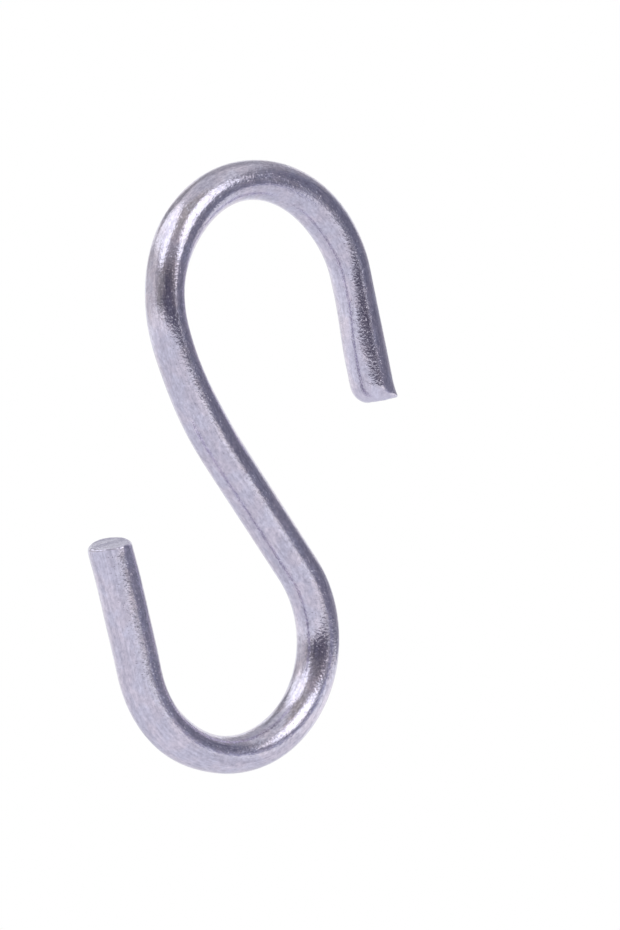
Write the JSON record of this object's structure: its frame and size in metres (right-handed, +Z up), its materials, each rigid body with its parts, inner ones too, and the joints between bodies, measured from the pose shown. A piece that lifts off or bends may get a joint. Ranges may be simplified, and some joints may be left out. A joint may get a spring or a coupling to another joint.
{
  "type": "s hook",
  "caption": "Small S-shaped hook of bent round metal wire, with open hooks facing opposite ways and cut ends.",
  "frame": {"origin": "highest point of the inside of the upper bend, where the hook bears on what it hangs from", "axes": "+Z up as the hook hangs, along the line from the lower bearing point to the upper one; Y across the hook's plane, with the front towards -Y; +X to the right, on the side of the upper hook's mouth"},
  "size_m": [0.0079, 0.001, 0.014],
  "materials": {
    "drawn_wire": "satin drawn wire with fine lengthwise die lines"
  },
  "bodies": {
    "root": {"hook": "drawn_wire"}
  },
  "joints": []
}
